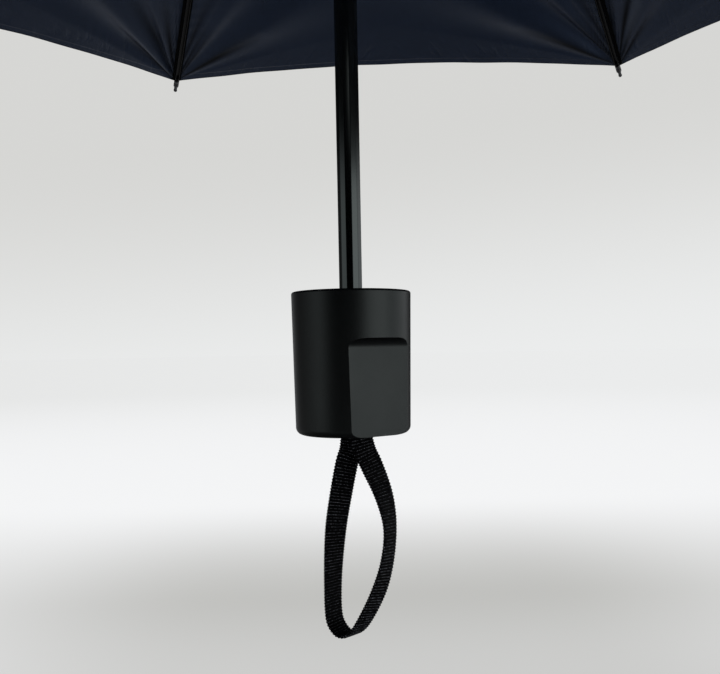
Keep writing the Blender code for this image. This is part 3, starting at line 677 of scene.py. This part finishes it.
def smoothNormals(mesh, normals):
    # Both faces of the cloth take the surface's own direction, and the cut edges stay crisp
    chosen = []
    for polygon in mesh.polygons:
        face = polygon.normal
        for index in polygon.loop_indices:
            vertex = mesh.loops[index].vertex_index
            surface = Vector(normals[vertex])
            lean = face.dot(surface)
            if abs(lean) > 0.6:
                chosen.append(surface * math.copysign(1.0, lean))
            else:
                chosen.append(face.copy())
    mesh.normals_split_custom_set(chosen)


def surfaceArea(rib, low, high):
    side = np.linspace(-0.5, 0.5, 61)[None, :].repeat(41, 0)
    share = np.linspace(0.0, 1.0, 41)[:, None].repeat(61, 1)
    grid = canopyPointBeside(rib, side, stripRing(share, side, low, high))
    first = grid[1:, :-1] - grid[:-1, :-1]
    second = grid[:-1, 1:] - grid[:-1, :-1]
    return float(np.linalg.norm(np.cross(first, second), axis=-1).sum())


for rib in range(canopy["ribs"]):
    tangent = (-math.sin(ribAngle(rib)), math.cos(ribAngle(rib)), 0.0)
    for index, length in enumerate(foldedShare):
        low = stations[index][0]
        high = stations[index + 1][0]
        body = f"{length}_rib_{rib + 1}"
        bm, normals = clothStrip(rib, low, high, canopy["columns"][index], canopy["rows"][index])
        strip = settle(f"canopy_{length}_{rib + 1}", bm, "cloth", body, 80.0, ("canopy",))
        smoothNormals(strip.data, normals)
        strip.data.attributes.remove(strip.data.attributes["mark"])
        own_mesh(strip)
        width = 2 * min(high, canopy["flatReach"]) * math.tan(math.pi / canopy["ribs"])
        run = math.hypot(high - low, stations[index][1] - stations[index + 1][1])
        surfaceArea(rib, low, high)
print("canopy strips made")


# Crown of the canopy, under the cap, which stays with the hub
crownTop = canopy["hubHeight"] + canopy["lift"]
crown = spun([(canopy["hole"], crownTop), (canopy["hubReach"], crownTop),
              (canopy["hubReach"], crownTop + canopy["thick"]), (canopy["hole"], crownTop + canopy["thick"])],
             32, closed=True)
cloth = crown.verts.layers.float_vector.new("cloth")
for vert in crown.verts:
    vert[cloth] = (vert.co.x + 0.02, vert.co.y, cornerReach)
settle("canopy_crown", crown, "cloth", "upper_shaft", 30.0, ("canopy",))


# Wrist strap: one loop of ribbed webbing through the handle's base
strap = {"width": 0.0080, "thick": 0.0011, "hang": 0.0698, "pin": 0.0030, "pinRise": 0.0040, "gap": 0.0003,
         "frontShift": 0.0022, "backShift": -0.0004, "bottom": -0.02375, "ribPitch": 0.00107,
         "ribRise": 0.00022, "ribSpread": 1.3, "sideLess": 0.00022, "faceLess": 0.00014,
         "square": (0.35, 0.5), "steps": 12, "overPin": 6, "around": 20, "perRib": 6, "reach": 0.0006}
strapRoute = (                                        # shares of the hang (x, y, z), and the turn in degrees
    (-0.015, 0.030, -0.085, 4.0), (-0.037, 0.022, -0.155, 8.0), (-0.067, 0.018, -0.300, 13.0),
    (-0.093, 0.026, -0.450, 21.0), (-0.108, 0.036, -0.600, 33.0), (-0.116, 0.046, -0.745, 42.0),
    (-0.117, 0.050, -0.885, 45.0), (-0.104, 0.040, -0.955, 45.0), (-0.064, 0.010, -0.997, 45.0),
    (-0.012, -0.026, -0.983, 44.0), (0.040, -0.062, -0.905, 42.0), (0.108, -0.086, -0.760, 44.0),
    (0.151, -0.092, -0.610, 54.0), (0.166, -0.085, -0.450, 56.0), (0.140, -0.064, -0.300, 38.0),
    (0.084, -0.040, -0.155, 14.0), (0.052, -0.033, -0.085, 8.0),
)


def strapLine():
    # The way of the webbing's middle and its turn, closed round the pin
    bend = strap["pin"] / 2 + strap["gap"] + strap["thick"] / 2
    hang = strap["hang"]
    route = [(strap["backShift"], bend, -strap["pinRise"], 0.0)]
    for x, y, z, turn in strapRoute:
        route.append((x * hang, y * hang, z * hang - strap["pinRise"], math.radians(turn)))
    route.append((strap["frontShift"], -bend, -strap["pinRise"], 0.0))
    for step in range(strap["overPin"] + 1):
        angle = math.pi * step / strap["overPin"]
        shift = strap["frontShift"] + (strap["backShift"] - strap["frontShift"]) * step / strap["overPin"]
        route.append((shift, -bend * math.cos(angle), bend * math.sin(angle), 0.0))
    knots = np.array(route)
    count = len(knots)
    rows = []
    for index in range(count):
        before, start, end, after = (knots[(index + step) % count] for step in (-1, 0, 1, 2))
        for step in range(strap["steps"]):
            t = step / strap["steps"]
            square = (2 * before - 5 * start + 4 * end - after) * t ** 2
            cube = (3 * start - 3 * end + after - before) * t ** 3
            rows.append(0.5 * (2 * start + (end - before) * t + square + cube))
    rows = np.array(rows + [rows[0]])
    rows[:, 2] += strap["bottom"] + strap["pinRise"]
    return rows


def makeStrap():
    line = strapLine()
    gaps = np.linalg.norm(np.diff(line[:, :3], axis=0), axis=1)
    travel = np.concatenate([[0.0], np.cumsum(gaps)])
    total = travel[-1]
    ribs = round(total / strap["ribPitch"])
    bm = bmesh.new()
    bmesh.ops.create_grid(bm, x_segments=strap["around"], y_segments=ribs * strap["perRib"], size=0.5)
    way = bm.verts.layers.float_vector.new("webbing")
    half = strap["width"] / 2
    core = strap["thick"] / 2
    for vert in bm.verts:
        angle = math.tau * (vert.co.x + 0.5)
        share = (vert.co.y + 0.5) % 1.0
        gone = share * total
        here, ahead, behind = (
            np.array([np.interp((gone + lead) % total, travel, line[:, axis]) for axis in range(4)])
            for lead in (0.0, strap["reach"], -strap["reach"]))
        along = Vector(ahead[:3] - behind[:3]).normalized()
        across = Vector((math.cos(here[3]), math.sin(here[3]), 0.0))
        across = (across - across.dot(along) * along).normalized()
        out = along.cross(across)
        wide = math.copysign(abs(math.cos(angle)) ** strap["square"][0], math.cos(angle))
        deep = math.copysign(abs(math.sin(angle)) ** strap["square"][1], math.sin(angle))
        rim = strap["ribRise"] * (0.5 + 0.5 * math.cos(math.tau * ribs * share))
        spread = half - strap["sideLess"] + rim * strap["ribSpread"]
        rise = core - strap["faceLess"] + rim
        vert.co = Vector(here[:3]) + across * wide * spread + out * deep * rise
        vert[way] = (wide * half, gone, deep * core)
    weld(bm, 0.0000012)
    faceOut(bm)
    settle("strap_webbing", bm, "webbing", "strap", 60.0, ("wrist_strap",))


makeStrap()
print("wrist strap made")


# Closing band: a doubled tab of the canopy's fabric with a round end and a pad of hook tape
band = {"width": 0.0140, "length": 0.0620, "thick": 0.0009, "panel": 4, "gap": 0.0003, "curl": 0.0012,
        "seamless": 0.02, "edgeLess": 0.0030, "pad": (0.00924, 0.0010, 0.018), "padRound": 0.0004,
        "padUp": 0.75, "padOut": 0.8, "folded": 0.055, "cells": (12, 44)}


def makeBand():
    hem = canopyPoint(band["panel"], np.array([0.5]), np.array([cornerReach]))[0]
    outward = Vector((hem[0], hem[1], 0.0)).normalized()
    sideways = Vector((0.0, 0.0, 1.0)).cross(outward)
    top = Vector((hem[0], hem[1], hem[2] - band["gap"]))
    half = band["width"] / 2
    bm = bmesh.new()
    bmesh.ops.create_grid(bm, x_segments=band["cells"][0], y_segments=band["cells"][1], size=0.5)
    cloth = bm.verts.layers.float_vector.new("cloth")
    for vert in bm.verts:
        across, down = vert.co.x * 2, 0.5 - vert.co.y
        drop = down * band["length"]
        room = band["length"] - drop
        width = half if room >= half else math.sqrt(max(0.0, half ** 2 - (half - room) ** 2))
        bend = band["curl"] * math.sin(down * 5.0) * down
        vert.co = top + sideways * across * width - Vector((0, 0, drop)) + outward * bend
        edge = min(width - abs(across * width), room) + band["edgeLess"]
        vert[cloth] = (band["seamless"] + across * width, drop, edge)
    weld(bm, 0.00001)
    bmesh.ops.translate(bm, verts=extruded(bm, bm.faces[:]), vec=outward * band["thick"])
    bmesh.ops.translate(bm, verts=bm.verts, vec=-outward * band["thick"] / 2)
    faceOut(bm)
    tab = settle("closing_tab", bm, "cloth", "upper_shaft", 50.0, ("closing_band",))
    pad = bmesh.new()
    bmesh.ops.create_cube(pad, size=1.0)
    bmesh.ops.scale(pad, vec=band["pad"], verts=pad.verts)
    roundEdges(pad, pad.edges, band["padRound"], 2)
    lie = Matrix((sideways, outward, (0, 0, 1))).transposed().to_4x4()
    below = band["length"] - band["pad"][2] * band["padUp"]
    spot = top - Vector((0, 0, below)) + outward * band["thick"] * band["padOut"]
    bmesh.ops.transform(pad, matrix=Matrix.Translation(spot) @ lie, verts=pad.verts)
    hook = settle("closing_hook_pad", pad, "handle", "upper_shaft", 30.0)
    for piece in (tab, hook):
        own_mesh(piece)


makeBand()
print("closing band made")


def ribWays(rib, run):
    # Along one length of a rib, square to it on its upper side, and sideways
    azimuth = ribAngle(rib)
    fall = math.atan(canopy["runs"][run][1])
    outward = Vector((math.cos(azimuth), math.sin(azimuth), 0.0))
    along = outward * math.cos(fall) - Vector((0, 0, math.sin(fall)))
    rise = outward * math.sin(fall) + Vector((0, 0, math.cos(fall)))
    return along, rise, Vector((-math.sin(azimuth), math.cos(azimuth), 0.0))


# Rivets at the rib joints and where the stretchers meet the ribs
rivet = {"pin": 0.0005, "head": 0.00115, "dome": 0.0005, "ribHalf": 0.0016, "stretcherFace": 0.0035,
         "stretcherReach": 0.060, "sides": 14}


def makeRivet(name, body, place, axis, low, high):
    head, pin = rivet["head"], rivet["pin"]
    dome = [(head * math.cos(angle), high + rivet["dome"] * math.sin(angle))
            for angle in (0.0, math.pi / 6, math.pi / 3, math.pi / 2)]
    under = [(radius, low - (height - high)) for radius, height in dome]
    profile = under[::-1] + [(pin, low), (pin, high)] + dome
    bm = spun(profile, rivet["sides"])
    turn = Vector((0, 0, 1)).rotation_difference(Vector(axis)).to_matrix().to_4x4()
    bmesh.ops.transform(bm, matrix=Matrix.Translation(place) @ turn, verts=bm.verts)
    settle(name, bm, "wire", body, 40.0)


for rib in range(canopy["ribs"]):
    label = rib + 1
    along, _, tangent = ribWays(rib, 0)
    for length, body in (("middle", "inner"), ("outer", "middle")):
        place = Vector(joints[f"{length}_rib_hinge_{label}"]["pos_m"])
        makeRivet(f"rivet_{length}_{label}", f"{body}_rib_{label}", place, tangent,
                  -rivet["ribHalf"], rivet["ribHalf"])
    hinge = Vector(joints[f"inner_rib_hinge_{label}"]["pos_m"])
    makeRivet(f"rivet_stretcher_{label}", f"inner_rib_{label}", hinge + along * rivet["stretcherReach"],
              tangent, -rivet["ribHalf"], rivet["stretcherFace"])
print("rivets made")


# Rib tips: a moulded sleeve with a groove for the thread, a slim nose and a domed end
tipShape = {"body": 0.0021, "nose": 0.0013, "end": 0.0015, "length": 0.0162, "sleeve": 0.0088,
            "start": 0.1570, "rise": 0.0018, "deep": 0.0073, "bore": 0.00143, "lip": 0.0003,
            "groove": (0.0030, 0.0034, 0.0042, 0.0046), "sides": 28}


def makeTips():
    body, nose, end, lip = tipShape["body"], tipShape["nose"], tipShape["end"], tipShape["lip"]
    sleeve, bead = tipShape["sleeve"], tipShape["length"] - tipShape["end"]
    first, second, third, fourth = tipShape["groove"]
    profile = [(0.0, tipShape["deep"]), (tipShape["bore"], tipShape["deep"]), (tipShape["bore"], 0.0),
               (body - lip, 0.0), (body, lip), (body, first), (body - lip, second), (body - lip, third),
               (body, fourth), (body, sleeve - 2 * lip), (body - 0.0002, sleeve - 0.0002),
               (nose + 0.0001, sleeve + lip), (nose, sleeve + 2 * lip), (nose, bead - end)]
    profile += bow((0.0, bead), end, -30, 90, 9)
    for rib in range(canopy["ribs"]):
        along, rise, _ = ribWays(rib, 2)
        hinge = Vector(joints[f"outer_rib_hinge_{rib + 1}"]["pos_m"])
        place = hinge + along * tipShape["start"] + rise * tipShape["rise"]
        turn = Matrix((rise.cross(along), rise, along)).transposed().to_4x4()
        bm = spun(profile, tipShape["sides"])
        bmesh.ops.transform(bm, matrix=Matrix.Translation(place) @ turn, verts=bm.verts)
        faceOut(bm)
        settle(f"tip_cap_{rib + 1}", bm, "tip", f"outer_rib_{rib + 1}", 40.0, (f"rib_tip_{rib + 1}",))


makeTips()
print("rib tips made")


# Washer under the cap, its points as radius and height over the canopy's hub
washerPoints = ((0.0029, 0.0048), (0.0029, 0.0057), (0.0100, 0.0057), (0.0112, 0.0053), (0.0115, 0.0048))
washer = spun([(radius, canopy["hubHeight"] + height) for radius, height in washerPoints], 48, closed=True)
cloth = washer.verts.layers.float_vector.new("cloth")
for vert in washer.verts:
    edge = washerPoints[-1][0] - vert.co.to_2d().length + band["edgeLess"]
    vert[cloth] = (vert.co.x + band["seamless"], vert.co.y, edge)
settle("crown_washer", washer, "cloth", "upper_shaft", 30.0, ("cap_washer",))


# Studio: what the gloss of the part reflects, as bearings in degrees from +X and their brightness
surround = ((-180, 0.30), (-168, 0.55), (-156, 0.90), (-147, 0.75), (-138, 0.18), (-129, 0.03), (-116, 0.004),
            (-86, 0.004), (-76, 0.04), (-66, 0.42), (-54, 0.72), (-20, 0.78), (-8, 0.95), (16, 0.95),
            (30, 0.80), (37, 1.10), (44, 0.25), (52, 0.03), (76, 0.03), (86, 0.50), (96, 0.65), (114, 0.35),
            (132, 0.12), (148, 0.05), (160, 0.10), (171, 0.22), (180, 0.30))


def surroundTone(finish, east, north):
    turn = north.maths("ARCTAN2", north, east) / math.tau + 0.5
    stops = [((bearing + 180) / 360, (tone * 0.97, tone, tone * 1.02)) for bearing, tone in surround]
    return finish.node("ShaderNodeValToRGB", {"stops": stops}, {"Fac": turn})


# Stage: a pale floor below the hanging strap, with a painted shadow near the part, and as light as the
# backdrop far off
backdropSlope = {"east": -0.10, "rise": (-0.06, 0.24)}
stageLook = {"floor": -0.30, "size": 30.0, "pale": (0.80, 0.80, 0.81), "cloudy": (0.82, 0.82, 0.83),
             "bright": (0.985, 0.992, 1.000), "farLow": (0.928, 0.937, 0.937),
             "farHigh": (0.741, 0.741, 0.723), "shadow": (0.555, 0.555, 0.535), "glow": 0.85,
             "shadowNorth": (0.70, 1.40), "paleNorth": (0.48, 0.76, 0.74, 1.0), "shadowEast": 0.03,
             "shadowWidth": (0.18, 0.62), "shadowReach": (1.4, 4.0), "farReach": (1.8, 6.0),
             "gloss": (0.02, 0.02, 0.02), "glossOut": (0.16, 0.16, 0.16), "glossReach": (0.35, 1.0, 1.9)}


def makeFloor():
    bm = bmesh.new()
    bmesh.ops.create_circle(bm, cap_ends=True, segments=64, radius=stageLook["size"])
    bmesh.ops.translate(bm, verts=bm.verts, vec=(0, 0, stageLook["floor"]))
    floor = added("floor", meshOf("floor", bm))
    finish = Finish("floor_paper")
    east, north, _ = finish.parts(finish.node("ShaderNodeTexCoord", out="Object"))
    paper = finish.node("ShaderNodeBsdfDiffuse", {}, {
        "Color": finish.mix(finish.noise(finish.place(), 3.0), stageLook["pale"], stageLook["cloudy"])})
    reach = (east * east + north * north) ** 0.5
    # Painted shadow of the part: the floor's glow is darkened to the shadow tone in front of and beside the
    # part
    beside = finish.step(abs(east - stageLook["shadowEast"]), *stageLook["shadowWidth"])
    floorShadow = (1.0 - finish.step(north, *stageLook["shadowNorth"])) * (1.0 - beside * 0.50)
    floorShadow = floorShadow * (1.0 - finish.step(reach, *stageLook["shadowReach"]))
    floorShadow = floorShadow * finish.step(north, *stageLook["paleNorth"])
    slope = finish.step(east * backdropSlope["east"] / reach, *backdropSlope["rise"])
    far = finish.mix(slope, stageLook["farLow"], stageLook["farHigh"])
    tone = finish.mix(finish.step(reach, *stageLook["farReach"]), stageLook["bright"], far)
    tone = finish.mix(floorShadow, tone, stageLook["shadow"])
    seen, gloss, through = finish.rays("Camera", "Glossy", "Transmission")
    # Glossy rays see a painted shadow, nearly black, on the floor under the part, then the studio surround
    # further off
    inner, middle, outer = stageLook["glossReach"]
    studio = finish.mix(finish.step(reach, inner, middle), stageLook["gloss"], stageLook["glossOut"])
    studio = finish.mix(finish.step(reach, middle, outer), studio, surroundTone(finish, east, north))
    tone = finish.mix(gloss, tone, studio)
    shown = seen.maths("MAXIMUM", seen.maths("MAXIMUM", seen, gloss), through) * stageLook["glow"]
    glow = finish.node("ShaderNodeEmission", {}, {"Color": tone, "Strength": 1.0})
    both = finish.node("ShaderNodeMixShader", {}, {0: shown, 1: paper, 2: glow})
    finish.join(both, finish.tree.nodes["Material Output"].inputs["Surface"])
    floor.data.materials.append(finish.material)
    floor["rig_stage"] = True
    return floor


floor = makeFloor()


# World: the pale backdrop that the camera sees, and the studio surround for everything else
worldLook = {"low": (0.835, 0.845, 0.845), "high": (0.675, 0.675, 0.660), "shade": (0.010, 0.011, 0.012),
             "slit": (0.95, 0.95, 0.95), "above": (0.60, 0.60, 0.61), "shadeRise": (0.16, 0.25),
             "aboveRise": (0.45, 0.85), "slitTurn": (0.003, 0.010), "slitRise": (0.20, 0.32)}


def makeWorld():
    world = bpy.data.worlds.new("surround")
    world.use_nodes = True
    bpy.context.scene.world = world
    finish = Finish("surround", world.node_tree)
    finish.tree.nodes.clear()
    output = finish.tree.nodes.new("ShaderNodeOutputWorld")
    east, north, rise = finish.parts(finish.node("ShaderNodeTexCoord", out="Generated"))
    slope = finish.step(rise + east * backdropSlope["east"], *backdropSlope["rise"])
    backdrop = finish.mix(slope, worldLook["low"], worldLook["high"])
    turn = north.maths("ARCTAN2", north, east) / math.tau + 0.25
    slit = (1.0 - finish.step(abs(turn), *worldLook["slitTurn"])) * finish.step(rise, *worldLook["slitRise"])
    shade = finish.mix(slit, worldLook["shade"], worldLook["slit"])
    studio = finish.mix(finish.step(rise, *worldLook["shadeRise"]), surroundTone(finish, east, north), shade)
    studio = finish.mix(finish.step(rise, *worldLook["aboveRise"]), studio, worldLook["above"])
    seen, through = finish.rays("Camera", "Transmission")
    seen = seen.maths("MAXIMUM", seen, through)
    sky = finish.node("ShaderNodeBackground", {}, {
        "Color": finish.mix(seen, studio, backdrop), "Strength": 1.0})
    finish.join(sky, output.inputs["Surface"])


makeWorld()


# Lamps: a soft box on the right, which leaves the floor out, and a wide one over the crown
lamps = {
    "rightBox": {"at": (0.86, -0.72, -0.14), "to": (0, 0, -0.14), "size": (0.90, 0.86), "watts": 2.5,
                 "onFloor": False},
    "overhead": {"at": (-0.4, -0.8, 1.9), "to": (0, 0, 0.3), "size": (1.8, 1.8), "watts": 30.0,
                 "onFloor": True},
}
for name, lamp in lamps.items():
    light = bpy.data.lights.new(name, "AREA")
    light.shape = "RECTANGLE"
    light.size, light.size_y = lamp["size"]
    light.energy = lamp["watts"]
    holder = added(name, light)
    holder.location = lamp["at"]
    aim = Vector(lamp["to"]) - Vector(lamp["at"])
    holder.rotation_mode = "QUATERNION"
    holder.rotation_quaternion = aim.to_track_quat("-Z", "Y")
    holder.visible_camera = False
    if not lamp["onFloor"]:
        apart = bpy.data.collections.new(name + "_leaves_out")
        apart.objects.link(floor)
        apart.collection_objects[0].light_linking.link_state = "EXCLUDE"
        holder.light_linking.receiver_collection = apart
print("lamps set")


# Camera, measured from the photograph
lens = {"at": (0.0, -0.28765, 0.00591), "yaw": 0.0351, "pitch": -0.0677, "roll": -0.0169, "mm": 42.553,
        "shift": (-0.0317, 0.0908)}
yaw, pitch, roll = lens["yaw"], lens["pitch"], lens["roll"]
ahead = Vector((math.sin(yaw) * math.cos(pitch), math.cos(yaw) * math.cos(pitch), math.sin(pitch)))
level = Vector((math.cos(yaw), -math.sin(yaw), 0.0))
upright = level.cross(ahead)
right = math.cos(roll) * level + math.sin(roll) * upright
up = -math.sin(roll) * level + math.cos(roll) * upright
eye = bpy.data.cameras.new("eye")
eye.lens = lens["mm"]
eye.sensor_width = 36.0
eye.shift_x, eye.shift_y = lens["shift"]
eye.clip_start = 0.01
eye.clip_end = 60.0
camera = added("eye", eye)
turn = Matrix((right, up, -ahead)).transposed()
camera.matrix_world = Matrix.Translation(lens["at"]) @ turn.to_4x4()
bpy.context.scene.camera = camera
bpy.context.scene.view_settings.view_transform = "Standard"
print("camera set")

low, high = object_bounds()
